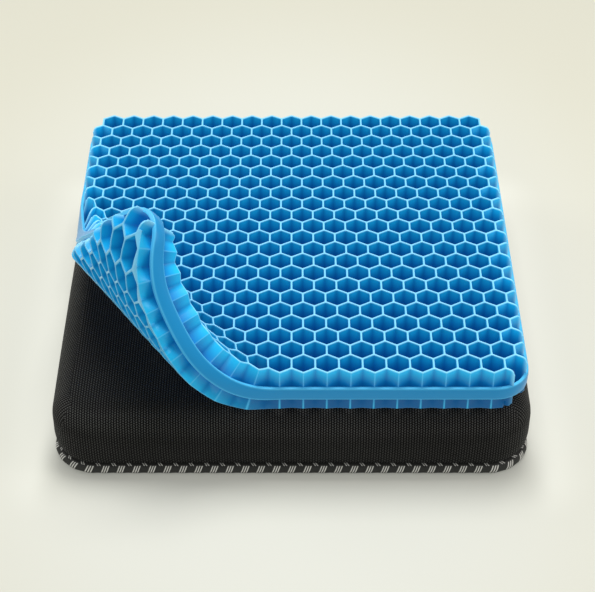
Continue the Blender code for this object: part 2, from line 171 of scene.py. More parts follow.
def bump(height, distance, strength=1.0):
    """A Bump node whose height is in units of distance (metres)."""
    return S.node("Bump", {"Height": height, "Distance": distance, "Strength": strength})


def rgb(hex_code):
    """An sRGB hex colour as linear RGBA."""
    value = np.array([int(hex_code[i:i + 2], 16) for i in (0, 2, 4)]) / 255
    linear = np.where(value <= 0.04045, value / 12.92, ((value + 0.055) / 1.055) ** 2.4)
    return (*linear.tolist(), 1.0)


# %% [markdown]
# ## Mesh helpers
# Every piece is made in its final place, with its object left at the origin.

# %% Mesh helpers


def new_piece(name, points, faces, made, smooth_below=None, values=None, uv=None):
    """Makes a mesh object of material made from an array of points and a list of faces or an array
    of quads. Edges sharper than smooth_below degrees stay sharp, and values are stored on the points."""
    mesh = bpy.data.meshes.new(name)
    mesh.from_pydata(points.tolist(), [], faces if isinstance(faces, list) else faces.tolist())
    mesh.update()
    for key, data in (values or {}).items():
        layer = mesh.attributes.new(key, "FLOAT", "POINT")
        layer.data.foreach_set("value", np.asarray(data, np.float32))
    if uv is not None:
        corner = np.empty(len(mesh.loops), int)
        mesh.loops.foreach_get("vertex_index", corner)
        mesh.uv_layers.new(name="UVMap").data.foreach_set("uv", uv[corner].astype(np.float32).ravel())
    mesh.polygons.foreach_set("use_smooth", np.ones(len(mesh.polygons), bool))
    if smooth_below is not None:
        mesh.set_sharp_from_angle(angle=math.radians(smooth_below))
    mesh.materials.append(made)
    piece = bpy.data.objects.new(name, mesh)
    bpy.context.scene.collection.objects.link(piece)
    return piece


def grid_faces(rows, columns, wrap_rows=False, wrap_columns=False, first=0):
    """Quads of a rows x columns grid of points numbered row by row."""
    i = np.arange(rows if wrap_rows else rows - 1)[:, None]
    j = np.arange(columns if wrap_columns else columns - 1)[None, :]
    a = i * columns + j
    b = i * columns + (j + 1) % columns
    c = (i + 1) % rows * columns + (j + 1) % columns
    d = (i + 1) % rows * columns + j
    return np.stack([a, b, c, d], axis=-1).reshape(-1, 4) + first


def smooth(t):
    """Smooth step: 3t^2 - 2t^3 with t held between 0 and 1."""
    t = np.clip(t, 0, 1)
    return t * t * (3 - 2 * t)


# %% [markdown]
# ## Gel honeycomb, flat
# Rows run left to right, with cell points to the front and back. Each closed cell is a
# tube: one column of points for each place round its mid-wall line, moved off that line
# by the ring's offset. The outer skin is one long path: along the zigzag front and back,
# in and out of the open end cells of the even rows, and round the free end of each wall.

# %% Gel sizes
PITCH = 0.020
CELL = PITCH / math.sqrt(3)
ROWS = 22
LONG_ROW = 20
LAST = LONG_ROW // 2 - 1
ROW_STEP = PITCH * math.sqrt(3) / 2
PAD_TOP = 0.1118
PAD_HEIGHT = 0.0415
WALL_HALF = 0.0009
# shares of a wall's length at which it has columns: between two corners, and towards a free end
SIDES_AT = (0.0, 0.11, 0.5, 0.89)
FIN_AT = (0.0, 0.11, 0.35, 0.55, 0.68, 0.79, 0.88, 0.95, 1.0)
FIN_ROUND = 0.0042
CORNER_FILLET = 0.0022
# shares of a full wall's length that a free side wall and a free corner wall have
FIN_SHARE = 0.93
CORNER_SHARE = 0.71
PAD_CORNER = 0.028
BAND_HALF_X, BAND_HALF_Y = 0.201, 0.1946
# offset off the mid-wall line as a share of half the wall, height below the top, 1 on the rims
RINGS = np.array([(0.0, 0.0, 1.0), (0.62, -0.0001, 1.0), (0.93, -0.0005, 0.75), (1.0, -0.0013, 0.0),
                  (1.0, 0.0012 - PAD_HEIGHT, 0.0), (0.93, 0.0004 - PAD_HEIGHT, 0.6), (0.0, -PAD_HEIGHT, 1.0)])
# the front and back walls step out by FOOT over their lowest FOOT_RISE, in the cells between the corners
FOOT_RISE = 0.0095
FOOT = 0.0046
FOOT_FROM_Y = 0.17
FOOT_TO_X = 0.181


def row_y(row):
    """Middle of a row, counted from 1 at the back."""
    return ((ROWS + 1) / 2 - row) * ROW_STEP


def cell_corner(k):
    """Corner k of a cell from its centre: 0 is at the back, then clockwise."""
    return np.array([math.sin(k * math.pi / 3), math.cos(k * math.pi / 3)]) * CELL


def loop_columns(points, free):
    """Columns along a closed path of corners whose open side is on its right.

    free marks corners where a wall ends: the path turns round its end. Returns, per column,
    the mid-line point, the move for a unit offset, the corner fillet's move, the distance
    from a free end (1 where there is none) and the nook: 1 deep in a corner, 0 mid-wall and
    -1 on an outer ridge, fading over half a wall."""
    out = np.roll(points, -1, axis=0) - points
    length = np.linalg.norm(out, axis=1)
    out = out / length[:, None]
    into = np.roll(out, 1, axis=0)
    right_in, right_out = (np.stack([v[:, 1], -v[:, 0]], axis=1) for v in (into, out))
    hollow = into[:, 0] * out[:, 1] - into[:, 1] * out[:, 0] < 0
    kind = np.where(free, 0.0, np.where(hollow, 1.0, -1.0))
    rows = []
    for i in range(len(points)):
        after = (i + 1) % len(points)
        if free[i]:
            turn = np.radians([0, 45, 90, 135, 180])[:, None]
            side = right_in[i] * np.cos(turn) + into[i] * np.sin(turn)
            at = np.array(FIN_AT[-2:0:-1])
            rows.append(np.column_stack([np.tile(points[i], (5, 1)), side, np.zeros((5, 4))]))
            share, from_end = 1 - at, length[i] * (1 - at)
        else:
            both = right_in[i] + right_out[i]
            both = both / np.linalg.norm(both)
            reach = 1 / (both @ right_in[i]) if hollow[i] else 1.02
            rows.append(np.array([[*points[i], *(both * reach), *(both * 0.155 * hollow[i]), 1.0, kind[i]]]))
            share = np.array(FIN_AT[1:-1] if free[after] else SIDES_AT[1:])
            from_end = length[i] * (1 - share) if free[after] else np.ones(len(share))
        depth = kind[i] * np.maximum(0, 1 - 2 * share) + kind[after] * np.maximum(0, 2 * share - 1)
        place = points[i] + out[i] * (length[i] * share)[:, None]
        still = np.zeros((len(share), 2))
        rows.append(np.column_stack([place, np.tile(right_out[i], (len(share), 1)), still, from_end, depth]))
    return np.vstack(rows)


def side_corners():
    """Corners up the right side: in and out of each even row's open end cell, as (x, y, free end)."""
    half = CELL / 2
    x0, x1 = LAST * PITCH, (LAST + 0.5) * PITCH
    tip, rise = x1 + FIN_SHARE * PITCH / 2, FIN_SHARE * half
    corners = []
    for row in range(ROWS, 1, -2):
        y = row_y(row)
        if row < ROWS:
            corners += [(x1, y - CELL, 0), (tip, y - CELL + rise, 1), (x1, y - CELL, 0)]
        corners += [(x0, y - half, 0), (x0, y + half, 0), (x1, y + CELL, 0)]
        corners += [(tip, y + CELL - rise, 1), (x1, y + CELL, 0)]
    return corners


def outer_corners():
    """The whole outer path, anticlockwise from the front left."""
    half = CELL / 2
    front = row_y(ROWS)
    back = row_y(1)
    right = side_corners()
    left = [(-x, y, free) for x, y, free in right[::-1]]
    corners = []
    for i in range(LONG_ROW - 1):
        corners.append((PITCH * (i - LAST), front - half, 0))
        corners.append((PITCH * (i - LAST + 0.5), front - CELL, 0))
    corners = corners[:-1]
    stub = (LAST * PITCH + CORNER_SHARE * PITCH / 2, front - half - CORNER_SHARE * half, 1)
    corners = [(-stub[0], stub[1], 1)] + corners + [stub] + right
    corners.append(((LAST + 0.5) * PITCH, back + half, 0))
    for i in range(LONG_ROW - 2, -1, -1):
        corners.append((PITCH * (i - LAST), back + CELL, 0))
        corners.append((PITCH * (i - LAST - 0.5), back + half, 0))
    return np.array(corners + left)


def wall_rings(columns, rings):
    """Points, rim and nook values of the rings round one loop of columns, ring by ring.

    The front and back step out of their nooks by FOOT times the rings' fourth value."""
    offset, z, rim = rings[:, 0, None], rings[:, 1, None], rings[:, 2, None]
    mid, move, fillet = columns[:, :2], columns[:, 2:4], columns[:, 4:6]
    from_end, nook = columns[:, 6], columns[:, 7]
    xy = mid + (move * offset[..., None] * WALL_HALF) + fillet * CORNER_FILLET * (offset ** 2)[..., None]
    ends = (np.abs(mid[:, 1]) > FOOT_FROM_Y) * (np.abs(mid[:, 0]) < FOOT_TO_X)
    xy[..., 1] += FOOT * rings[:, 3, None] * ends * np.sign(mid[:, 1]) * (1 + nook) / 2
    gap = np.clip(1 - from_end / FIN_ROUND, 0, 1)
    drop = FIN_ROUND * (1 - np.sqrt(1 - gap ** 2))
    middle = -PAD_HEIGHT / 2
    height = middle + (z - middle) * (1 + drop / middle)
    points = np.dstack([xy, np.broadcast_to(height, xy.shape[:2])])
    edge = rim * np.ones_like(height) + (1 - rim) * np.clip(gap * 1.5 - 0.5, 0, 1)
    return points.reshape(-1, 3), edge.ravel(), np.broadcast_to(nook, height.shape).ravel()


def flat_walls():
    """All cell walls of the flat pad, top at height 0: points, quads, rim, nook and outer skin values."""
    loops = []
    clockwise = np.array([cell_corner(k) for k in range(6)])
    for row in range(1, ROWS + 1):
        count = LONG_ROW - row % 2
        ends = 1 - row % 2
        for index in range(ends, count - ends):
            centre = np.array([(index - (count - 1) / 2) * PITCH, row_y(row)])
            loops.append(loop_columns(clockwise + centre, np.zeros(6, bool)))
    outer = outer_corners()
    loops.append(loop_columns(outer[:, :2], outer[:, 2] > 0))
    plain = np.column_stack([RINGS, np.zeros(len(RINGS))])
    footed = np.insert(plain, 4, [1.0, FOOT_RISE - PAD_HEIGHT, 0.0, 0.0], axis=0)
    footed = np.insert(footed, 5, [1.0, 0.6 * FOOT_RISE - PAD_HEIGHT, 0.0, 0.45], axis=0)
    footed[6:8, 3] = 1.0
    points, quads, rims, nooks = [], [], [], []
    first = 0
    for columns in loops:
        rings = footed if columns is loops[-1] else plain
        p, rim, nook = wall_rings(columns, rings)
        points.append(p)
        rims.append(rim)
        nooks.append(nook)
        quads.append(grid_faces(len(rings), len(columns), wrap_columns=True, first=first)[:, ::-1])
        first += len(p)
    skin = np.concatenate([np.zeros(first - len(p)), np.ones(len(p))])
    return np.vstack(points), np.vstack(quads), np.concatenate(rims), np.concatenate(nooks), skin


def rounded_loop(half_x, half_y, radius, step, arc_steps=10):
    """Points and outward normals of a rectangle with round corners, anticlockwise, about step apart
    on its sides."""
    points, normals = [], []
    for quarter, (sx, sy) in enumerate(((1, 1), (-1, 1), (-1, -1), (1, -1))):
        angle = np.radians(90 * quarter + np.linspace(0, 90, arc_steps + 1))
        normal = np.column_stack([np.cos(angle), np.sin(angle)])
        centre = np.array([sx * (half_x - radius), sy * (half_y - radius)])
        points.append(centre + radius * normal)
        normals.append(normal)
        span = 2 * ((half_x if quarter % 2 == 0 else half_y) - radius)
        count = max(1, round(span / step))
        ahead = np.array([-normal[-1][1], normal[-1][0]])
        share = np.arange(1, count)[:, None] / count
        points.append(points[-1][-1] + ahead * span * share)
        normals.append(np.tile(normal[-1], (count - 1, 1)))
    return np.vstack(points), np.vstack(normals)


def flat_band():
    """The band round the flat pad: a closed strip whose edges are rounded."""
    path, normal = rounded_loop(BAND_HALF_X, BAND_HALF_Y, PAD_CORNER, 0.004)
    inner, outer, top, low, r = -0.0008, 0.0020, -0.0163, -0.0288, 0.0009
    turn = np.radians([90, 60, 30, 0])
    upper = np.column_stack([outer - r + r * np.cos(turn), top - r + r * np.sin(turn)])
    lower = upper[::-1] * [1, -1] + [0, top + low]
    bulge = [[outer + 0.0003, (top + low) / 2]]
    section = np.vstack([[[inner, top]], upper, bulge, lower, [[inner, low]]])
    points = np.concatenate([path[None] + normal[None] * section[:, None, :1],
                             np.broadcast_to(section[:, None, 1:], (len(section), len(path), 1))], axis=2)
    quads = grid_faces(len(section), len(path), wrap_rows=True, wrap_columns=True)[:, ::-1]
    return points.reshape(-1, 3), quads


walls, wall_quads, rim_value, nook_value, skin_value = flat_walls()
band, band_quads = flat_band()
print("honeycomb", len(walls), "points,", len(wall_quads), "quads; band", len(band_quads), "quads")

# %% [markdown]
# ## The curl
# d is the distance past the fold line and s the distance along it. The curl's angle T(d) is
# the integral of its curvature, and X(d), Z(d) those of cos T and sin T:
# across = X(d) - (z - n) sin T, up = n + Z(d) + (z - n) cos T, with n the depth that keeps its length.
# Near the left edge the curvature has values of its own, and the gel is also drawn in along s,
# more at its underside.

# %% Curl
FOLD = math.radians(214.5)
FOLD_AT = 0.116
NEUTRAL = -0.0098
SLICE = 0.036
# curvatures, in 1/m, of the roll's four stretches, and the distances past the fold where they change
CURVATURE = (23.0, 16.1, 6.0, 21.3)
LEFT_CURVATURE = (24.5, 17.0, 6.0, 19.5)
STRETCH_AT = np.array([0, 8, 28, 44, 64, 80, 100, 116, 149, 159]) / 1000
LEFT_EDGE, LEFT_REACH = -0.200, 0.125
FRONT_EDGE, FRONT_REACH = -0.190, 0.110
PULL = 0.022
across = np.array([math.cos(FOLD), math.sin(FOLD)])
along = np.array([-across[1], across[0]])


def curl_curve(d, curvature=CURVATURE):
    """T, X and Z at distances d past the fold line (0 before it)."""
    value = [0, *np.repeat(curvature, 2), 0]
    fine = np.linspace(0, 0.33, 3301)
    step = fine[1]

    def total(f):
        """Running integral by the trapezium rule."""
        return np.concatenate([[0], np.cumsum((f[1:] + f[:-1]) / 2 * step)])

    turn = total(np.interp(fine, STRETCH_AT, value))
    past = np.clip(d, 0, 0.32)
    return tuple(np.interp(past, fine, v) for v in (turn, total(np.cos(turn)), total(np.sin(turn))))


def curl(points):
    """Curls flat pad points (top at height 0) and sets them on the cushion.

    left is 1 at the left edge behind the corner and fades to the right and to the front. The
    draw-in grows over the first 0.9 radians of turn, and a fifth of it is left past 2 radians."""
    x, y, z = points.T
    d = points[:, :2] @ across - FOLD_AT
    left = smooth(1 - (x - LEFT_EDGE) / LEFT_REACH) * smooth((y - FRONT_EDGE) / FRONT_REACH)
    both = zip(curl_curve(d), curl_curve(d, LEFT_CURVATURE))
    turn, ahead, up = ((1 - left) * a + left * b for a, b in both)
    pull = PULL * left * smooth(turn / 0.9) * (1 - 0.8 * smooth((turn - 1.2) / 0.8))
    s = points[:, :2] @ along + pull * (0.6 - 0.4 * z / PAD_HEIGHT)
    far = np.where(d > 0, ahead - (z - NEUTRAL) * np.sin(turn), d) + FOLD_AT
    high = np.where(d > 0, up + (z - NEUTRAL) * np.cos(turn) + NEUTRAL, z) + PAD_TOP
    return np.column_stack([far[:, None] * across + s[:, None] * along, high])


print("corner turns", round(math.degrees(curl_curve(np.array([0.32]))[0][0]), 1), "degrees in all")

# %% [markdown]
# ## Gel material
# The colour follows values stored on the points: depth below the top as a share of the pad's
# height, rim, nook and band as above, and shade and glow on the outer skin. Much of the colour is
# painted light: painted highlights on the rims, ridges and band edges, painted shade mid-depth and in
# the corners, a painted shadow (shade) below the band, and emission (glow) that stands in for light
# passing through the gel.

# %% Gel material


def gel_material():
    """Blue gel with painted light: painted highlights on the rims, ridges and band edges, walls painted
    lighter near the open top and bottom and deeper blue mid-depth and in the corners (painted shade), a
    painted shadow below the band, and emission that stands in for light through the gel.
    """
    made, shader = material("gel", Roughness=0.30, IOR=1.42, Specular_IOR_Level=0.35, Emission_Strength=0.40)
    depth = attribute("depth")
    rim = attribute("rim")
    nook = attribute("nook")
    # Painted light and shade: the walls are painted lighter (high) near the open top and bottom and deeper
    # blue (deep) mid-depth, where less light reaches.
    high = rgb("18A8DC")
    deep = rgb("0B73B8")
    inside = (depth * 2.0 - 1.0).abs()
    wall = mix(inside.ramp(0.15, 1.0), deep, high)
    # Painted shade: walls darker deep in the concave corners (nook near 1).
    wall = mix(nook.ramp(0.2, 1.1) * 0.45, wall, rgb("075AA6"))
    # Painted highlight: pale lines on the outer ridges (nook near -1).
    wall = mix(nook.ramp(-0.88, -1.0) * 0.35, wall, rgb("6CC0E8"))
    # Painted shadow: the outer skin below the band on the flat pad is darker (shade), except on the ridges.
    shade = attribute("shade")
    wall = mix(shade * nook.ramp(-0.97, -0.82), wall, rgb("005C98"))
    # Painted highlights: the band's rounded top and bottom edges are lighter than its face.
    edge = (depth - 0.54).abs().ramp(0.10, 0.16)
    wall = mix(attribute("band"), wall, mix(edge, rgb("1A86C0"), rgb("4DB4E2")))
    # Painted highlight: pale rims, dimmed where the painted shadow below the band falls.
    colour = mix(rim * (1.0 - shade * 0.75) * 0.9, wall, rgb("7FC8EA"))
    S.put(colour, shader.inputs["Base Color"])
    # Painted light: the gel emits its own wall colour (pale on the rims), standing in for light passing
    # through it; the emission is 0.4 of full everywhere and full on the outer skin above the band (glow).
    glow = mix(rim * (1.0 - shade * 0.75), wall, rgb("5FB6DE"))
    S.put(mix(0.4 + attribute("glow") * 0.6, (0, 0, 0, 1), glow), shader.inputs["Emission Color"])
    grain = noise(S.node("TexCoord", output=3), 900.0, 3.0)
    S.put(bump(grain, 0.00006, 0.35), shader.inputs["Normal"])
    return made


gel = gel_material()
print("material", gel.name)

# %% [markdown]
# ## Gel pieces
# The pad is cut into the flat part and four slices of the curl, each made in its curled place.
# The flat part is attached to its body; each slice only hides the CAD node it stands for.

# %% Gel pieces


def gel_pieces():
    """Cuts the pad's faces into five pieces by their distance past the fold, and makes each one."""
    flat = np.vstack([walls, band])
    quads = np.vstack([wall_quads, band_quads + len(walls)])
    rim = np.concatenate([rim_value, np.zeros(len(band))])
    nook = np.concatenate([nook_value, np.zeros(len(band))])
    is_band = np.concatenate([np.zeros(len(walls)), np.ones(len(band))])
    is_skin = np.concatenate([skin_value, np.zeros(len(band))])
    key = np.round(flat * 1e5).astype(np.int64)
    _, first, same = np.unique(key, axis=0, return_index=True, return_inverse=True)
    flat, rim, nook, is_band, is_skin = (v[first] for v in (flat, rim, nook, is_band, is_skin))
    past = flat[:, :2] @ across - FOLD_AT
    depth = -flat[:, 2] / PAD_HEIGHT
    # shade is a painted shadow on the outer skin below the band, on the flat pad only, fading out past the
    # fold.
    shade = is_skin * smooth((depth - 0.55) / 0.15) * smooth(1 - past / 0.05)
    # glow marks the outer skin above the band for more emission: painted light standing in for light through
    # the gel.
    glow = is_skin * smooth((0.55 - depth) / 0.15)
    quads = same.ravel()[quads]
    curled = curl(flat)
    d = flat[quads].mean(axis=1)[:, :2] @ across - FOLD_AT
    owner = np.clip(np.floor(d / SLICE) + 1, 0, 4).astype(int)
    used = np.zeros((5, len(flat)), bool)
    for k in range(5):
        used[k, quads[owner == k].ravel()] = True
    bodies = ["gel_pad"] + [f"gel_corner_{k}" for k in range(1, 5)]
    for k in range(5):
        mine = np.flatnonzero(used[k])
        place = np.zeros(len(flat), int)
        place[mine] = np.arange(len(mine))
        faces = place[quads[owner == k]]
        faces = [tuple(dict.fromkeys(face)) for face in faces.tolist()]
        values = {"depth": depth, "rim": rim, "nook": nook, "band": is_band, "shade": shade, "glow": glow}
        values = {key: value[mine] for key, value in values.items()}
        piece = new_piece("gel_flat" if k == 0 else f"gel_curl_{k}", flat[mine],
                          [face for face in faces if len(face) > 2], gel, 50, values)
        piece.data.vertices.foreach_set("co", curled[mine].astype(np.float32).ravel())
        piece.data.update()
        if k == 0:
            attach(piece, bodies[0])
        else:
            turn = np.mean(curl_curve(np.array([(k - 1) * SLICE, k * SLICE]))[0])
            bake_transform(piece)
        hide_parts(bodies[k])


gel_pieces()

# %% [markdown]
# ## Padded cover
# A box of even quads is wrapped into a cushion: plan corners turn square patches into
# quarter discs, then the top and bottom edges are rolled to their radius. Cloth with a
# little pressure then puffs it between its seams, held where the gel lies on it.

# %% Cover shape
HALF_X, HALF_Y = 0.2095, 0.2045
TOP_Z, LOW_Z = 0.0693, 0.0033
PLAN_RADIUS, TOP_ROLL, LOW_ROLL, LOW_RISE = 0.038, 0.026, 0.016, 0.023
SLOT_X, SLOT_LOW, SLOT_HIGH = 0.181, 0.027, 0.041


def divided(marks, step):
    """Sorted numbers that pass through every mark with gaps near step."""
    spans = [np.linspace(a, b, max(1, round((b - a) / step)) + 1)[:-1] for a, b in zip(marks[:-1], marks[1:])]
    return np.concatenate(spans + [[marks[-1]]])


def box_grid(xs, ys, zs):
    """Points and outward quads of a box's surface whose grid lines are xs, ys and zs."""
    points, quads, first = [], [], 0
    sides = ((2, zs[-1], 0), (2, zs[0], 1), (1, ys[0], 0), (1, ys[-1], 1), (0, xs[-1], 0), (0, xs[0], 1))
    for fixed, value, flip in sides:
        lines = [(xs, ys), (xs, ys), (xs, zs), (xs, zs), (ys, zs), (ys, zs)][(4 - 2 * fixed) + flip]
        a, b = np.meshgrid(*lines, indexing="ij")
        face = np.insert(np.stack([a.ravel(), b.ravel()], axis=1), fixed, value, axis=1)
        grid = grid_faces(len(lines[0]), len(lines[1]), first=first)
        points.append(face)
        quads.append(grid if flip else grid[:, ::-1])
        first += len(face)
    points = np.vstack(points)
    key = np.round(points * 1e6).astype(int)
    _, keep, same = np.unique(key, axis=0, return_index=True, return_inverse=True)
    return points[keep], same.ravel()[np.vstack(quads)]


def wrap_box(points, half_x, half_y, low, high, plan, top, bottom, rise):
    """Rounds a box's surface points: plan corners to radius plan, then its top edge to radius top
    and its bottom edge to an ellipse that runs in by bottom and up by rise."""
    core = np.clip(points[:, :2], [-(half_x - plan), -(half_y - plan)], [half_x - plan, half_y - plan])
    offset = points[:, :2] - core
    reach = np.abs(offset).max(axis=1)
    length = np.linalg.norm(offset, axis=1)
    normal = offset / np.maximum(length, 1e-9)[:, None]
    inset = plan - reach
    z = points[:, 2].copy()
    rim = core + normal * plan
    out = core + normal * reach[:, None]
    for level, roll, tall, sign in ((high, top, top, 1), (low, bottom, rise, -1)):
        on_face = np.abs(points[:, 2] - level) < 1e-7
        below = (level - points[:, 2]) * sign
        t = np.where(on_face, 1 + inset / roll, 1 - below / tall) / 2
        rolled = (inset < roll) & (t > 0) & (on_face | (inset < 1e-7))
        angle = np.clip(t, 0, 1) * np.pi / 2
        shifted = rim - normal * (roll * (1 - np.cos(angle)))[:, None]
        out = np.where(rolled[:, None], shifted, out)
        z = np.where(rolled, level - sign * tall * (1 - np.sin(angle)), z)
    return np.column_stack([out, z])


def puffed(piece, held, cap, pressure=4.0, frames=20):
    """Runs Cloth with pressure on a piece, moves each point at most cap, and leaves no modifier."""
    group = piece.vertex_groups.new(name="held")
    group.add(np.flatnonzero(held).tolist(), 1.0, "REPLACE")
    cloth = piece.modifiers.new("Cloth", "CLOTH")
    cloth.settings.use_pressure = True
    cloth.settings.uniform_pressure_force = pressure
    cloth.settings.effector_weights.gravity = 0.0
    cloth.settings.vertex_group_mass = "held"
    cloth.settings.quality = 4
    cloth.point_cache.frame_end = frames
    scene = bpy.context.scene
    for number in range(1, frames + 1):
        scene.frame_set(number)
    count = len(piece.data.vertices)
    rest, moved = np.empty(count * 3, np.float32), np.empty(count * 3, np.float32)
    piece.data.vertices.foreach_get("co", rest)
    piece.evaluated_get(bpy.context.evaluated_depsgraph_get()).data.vertices.foreach_get("co", moved)
    rest, moved = rest.reshape(-1, 3), moved.reshape(-1, 3)
    step = moved - rest
    size = np.linalg.norm(step, axis=1, keepdims=True)
    step = step * np.minimum(1, cap / np.maximum(size, 1e-9))
    piece.modifiers.remove(cloth)
    piece.vertex_groups.remove(group)
    scene.frame_set(1)
    return rest + step, size.max()


def make_cover(made):
    """The cover: wrapped box without the faces of the zip's slot, puffed by cloth."""
    xs = divided([-HALF_X, -SLOT_X, -(HALF_X - PLAN_RADIUS), HALF_X - PLAN_RADIUS, SLOT_X, HALF_X], 0.0055)
    ys = divided([-HALF_Y, -(HALF_Y - PLAN_RADIUS), HALF_Y - PLAN_RADIUS, HALF_Y], 0.0055)
    zs = divided([LOW_Z, SLOT_LOW, SLOT_HIGH, TOP_Z - TOP_ROLL, TOP_Z], 0.005)
    box, quads = box_grid(xs, ys, zs)
    centre = box[quads].mean(axis=1)
    in_slot = (centre[:, 1] > HALF_Y - 1e-6) & (np.abs(centre[:, 0]) < SLOT_X)
    in_slot &= (centre[:, 2] > SLOT_LOW) & (centre[:, 2] < SLOT_HIGH)
    quads = quads[~in_slot]
    used = np.unique(quads)
    place = np.zeros(len(box), int)
    place[used] = np.arange(len(used))
    box, quads = box[used], place[quads]
    shape = wrap_box(box, HALF_X, HALF_Y, LOW_Z, TOP_Z, PLAN_RADIUS, TOP_ROLL, LOW_ROLL, LOW_RISE)
    piece = new_piece("cushion_cover", shape, quads, made)
    under_pad = (shape[:, 2] > TOP_Z - 0.0004) & (np.abs(shape[:, 0]) < 0.17) & (np.abs(shape[:, 1]) < 0.165)
    by_slot = (box[:, 1] > HALF_Y - 1e-6) & (np.abs(box[:, 0]) < SLOT_X + 0.008)
    by_slot &= (box[:, 2] > SLOT_LOW - 0.006) & (box[:, 2] < SLOT_HIGH + 0.006)
    held = (shape[:, 2] < 0.010) | under_pad | by_slot
    shape, most = puffed(piece, held, 0.0025)
    print("cover puffed; largest free move", round(float(most) * 1000, 1), "mm")
    shape[:, 2] = np.minimum(shape[:, 2], TOP_Z)
    piece.data.vertices.foreach_set("co", shape.astype(np.float32).ravel())
    piece.data.update()
    finer = piece.modifiers.new("Finer", "SUBSURF")
    finer.levels = finer.render_levels = 1
    return piece


# %% [markdown]
# ## Cover fabric
# The knit is drawn by formula from places on the cover, so it needs no UVs.

# %% Cover fabric


def knit_material(name="mesh_fabric", column=0.0023, row=0.0030, light="545553", dark="020202"):
    """Black spacer mesh: light loops stand in columns, each a short stroke that leans to the left in
    one column and to the right in the next, half a row lower. On the rolled top edge the loops are
    painted lighter: a painted sheen.

    u runs along a wall and v up it and over the edge, so that the columns carry on over the top."""
    made, shader = material(name, Roughness=0.7, Sheen_Weight=0.03, Sheen_Roughness=0.4,
                            Specular_IOR_Level=0.15)
    coords = S.node("TexCoord", output=3)
    x, y, z = parts(coords)
    nx, ny, nz = parts(S.node("TexCoord", output=1))
    side = nx.abs() > ny.abs().most(0.35)
    u = (y - x) * side + x
    v = z - (x.abs() - y.abs()) * side - y.abs()
    wobble = noise(coords, 60.0) * 0.3
    a = u / column + wobble
    odd = (a.floor() * 0.5).fract() * 2.0
    b = v / row + odd * 0.5 + wobble
    fb = (b.fract() - 0.5) / 0.46
    fa = (a.fract() - 0.5 + fb * (odd - 0.5) * 0.32) / 0.33
    loop = (fa * fa + fb * fb).ramp(1.1, 0.3)
    patch = noise(coords, 14.0, 3.0)
    fleck = noise(coords, 900.0, 2.0)
    # Painted sheen: the loops are lighter on the rolled top edge, where the surface tilts half up.
    painted_sheen = nz.ramp(0.1, 0.5) * nz.ramp(0.98, 0.75)
    bright = loop * (patch * 0.36 + fleck * 0.3 + 0.05 + painted_sheen * 0.4).least(1.0)
    S.put(mix(bright, rgb(dark), rgb(light)), shader.inputs["Base Color"])
    S.put(0.9 - loop * 0.3 - patch * 0.1, shader.inputs["Roughness"])
    S.put(bump(loop, 0.0007, 1.0), shader.inputs["Normal"])
    return made


cover = make_cover(knit_material())
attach(cover, "cover")
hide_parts("cover_shell")
print("cover", len(cover.data.polygons), "quads")

# %% [markdown]
# ## Edge cord
# A thick cord follows the bottom seam. White threads cross its dark braid: three long
# slanting stitches low down, then two short ones leaning the other way on its shoulder.

# %% Edge cord
CORD = 0.0051
CORD_INSET = 0.0046
STITCH_PITCH = 0.0136


def cord_material():
    """Dark braid with groups of white threads.

    u counts stitch groups along the cord, and v goes once round it."""
    made, shader = material("edge_cord", Roughness=0.7)
    u, v, _ = parts(S.node("UVMap", uv_map="UVMap"))
    across_cord = ((v + 0.5).fract() - 0.5) * 360.0
    weave = ((u * 8 + v * 10).fract() - 0.5).abs() * 2
    other = ((u * 8 - v * 10).fract() - 0.5).abs() * 2
    braid = weave.most(other)

    def stitches(shift, centre, half, slant, gap, count):
        """count slanting strokes in a group, about its middle and gap (a share of the pitch) apart."""
        rise = (across_cord - centre) / half
        along_cord = (u + shift).fract() - 0.5 - rise * slant
        stroke = ((along_cord / gap + (0.5 if count % 2 == 0 else 0.0) + 0.5).fract() - 0.5).abs()
        line = stroke.ramp(0.34, 0.18)
        inside = along_cord.abs().ramp(gap * count / 2 + 0.01, gap * count / 2 - 0.01)
        return line * inside * rise.abs().ramp(1.0, 0.82)

    white = stitches(0.5, 17.0, 46.0, 0.11, 0.155, 3).most(stitches(0.0, 89.0, 32.0, -0.13, 0.15, 2))
    fleck = noise(S.node("TexCoord", output=3), 700.0, 2.0)
    base = mix(braid * 0.6 + fleck * 0.3, rgb("0C0D0C"), rgb("323330"))
    S.put(mix(white * (0.75 + fleck * 0.4).least(1.0), base, rgb("E6E6E0")), shader.inputs["Base Color"])
    S.put(bump(braid * 0.5 + white * 0.8, 0.0006, 0.9), shader.inputs["Normal"])
    return made


def make_cord():
    """The cord: a tube with shallow lumps, one to each group of stitches."""
    inset = CORD_INSET
    path, normal = rounded_loop(HALF_X - inset, HALF_Y - inset, PLAN_RADIUS - inset, 0.0026, 24)
    length = np.concatenate([[0], np.cumsum(np.linalg.norm(np.diff(path, axis=0, append=path[:1]), axis=1))])
    groups = round(length[-1] / STITCH_PITCH)
    u = length / length[-1] * groups
    angle = np.linspace(0, 2 * np.pi, 21)
    path, normal = np.vstack([path, path[:1]]), np.vstack([normal, normal[:1]])
    swell = CORD * (0.965 + 0.035 * np.cos(2 * np.pi * u))
    points = np.concatenate([path[:, None] + normal[:, None] * (swell[:, None] * np.cos(angle))[..., None],
                             (CORD + swell[:, None] * np.sin(angle))[..., None]], axis=2)
    points[..., 2] = np.maximum(points[..., 2], 0.0001)
    uv = np.stack(np.broadcast_arrays(u[:, None], (angle / (2 * np.pi))[None]), axis=-1)
    quads = grid_faces(len(path), len(angle))
    return new_piece("edge_piping", points.reshape(-1, 3), quads, cord_material(), uv=uv.reshape(-1, 2))


cord = make_cord()
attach(cord, "cover")
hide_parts("edge_cord")
print("cord", len(cord.data.polygons), "quads")

